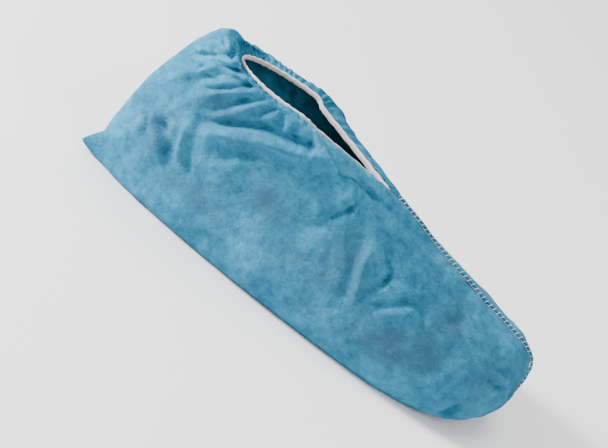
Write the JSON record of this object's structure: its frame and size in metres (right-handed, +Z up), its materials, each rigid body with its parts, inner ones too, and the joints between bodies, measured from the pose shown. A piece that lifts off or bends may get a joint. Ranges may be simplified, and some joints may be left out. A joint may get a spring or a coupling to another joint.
{
  "type": "shoe cover",
  "caption": "Disposable fabric shoe cover with an open gathered mouth, elastic inside its edge and a seam along the instep, toe and sole.",
  "frame": {"origin": "middle of the footprint's bounding rectangle, on the floor under the sole", "axes": "+X from the heel to the toe, +Z up out of the foot opening, +Y to the wearer's left"},
  "size_m": [0.3276, 0.1166, 0.1291],
  "materials": {
    "nonwoven": "thin light blue nonwoven, matt",
    "elastic": "white elastic, matt",
    "seam": "overlocked edge of the nonwoven"
  },
  "bodies": {
    "root": {"fabric_shell": "nonwoven", "mouth_elastic": "elastic", "centre_seam": "seam"}
  },
  "joints": []
}
